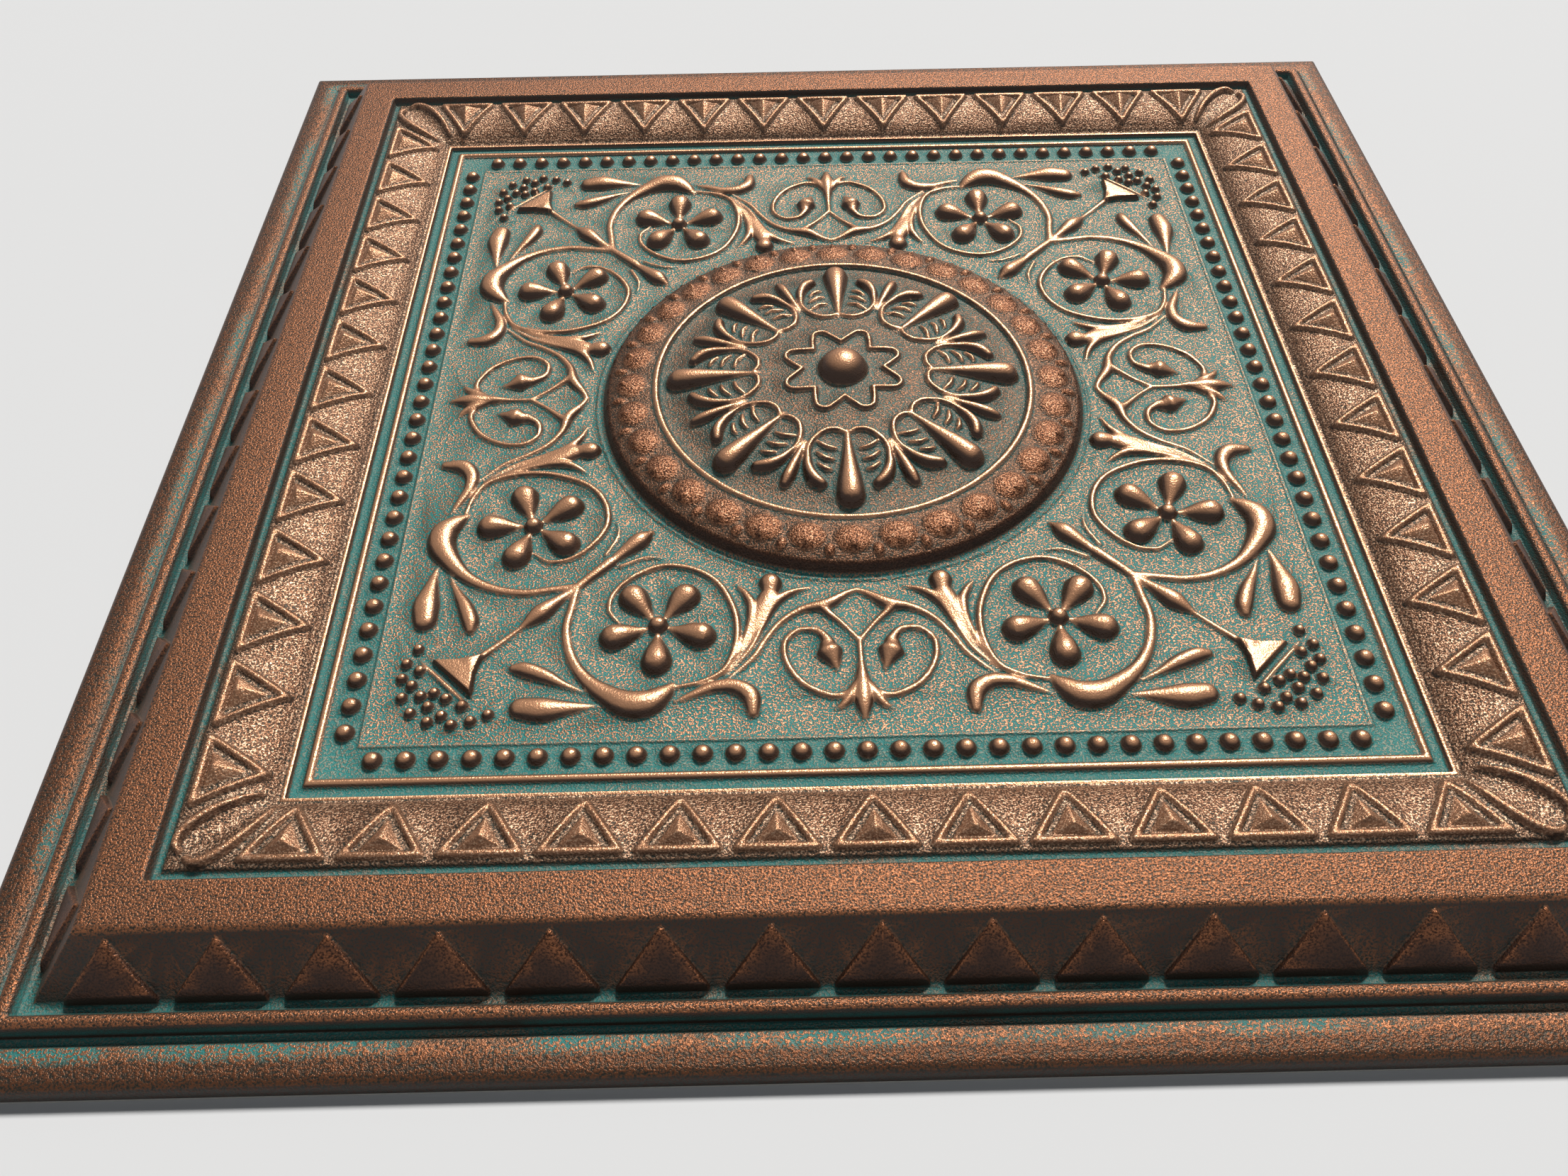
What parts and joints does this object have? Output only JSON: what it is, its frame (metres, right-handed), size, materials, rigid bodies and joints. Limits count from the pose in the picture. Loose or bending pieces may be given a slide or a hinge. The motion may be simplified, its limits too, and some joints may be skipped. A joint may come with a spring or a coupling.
{
  "type": "foam ceiling tile",
  "caption": "Square glue-up foam ceiling tile with a moulded frame, scrollwork field and central medallion, in copper with green patina",
  "frame": {"origin": "middle of the square back plane, on the surface the tile lies on or is glued to", "axes": "+Z out of the decorated face, +X and +Y along the sides of the square; all four sides are alike"},
  "size_m": [0.5, 0.5, 0.033],
  "materials": {
    "painted_foam": "foam with a grained copper paint, rubbed brighter on the relief and blue-green in the recesses"
  },
  "bodies": {
    "root": {"ceiling_tile": "painted_foam"}
  },
  "joints": []
}
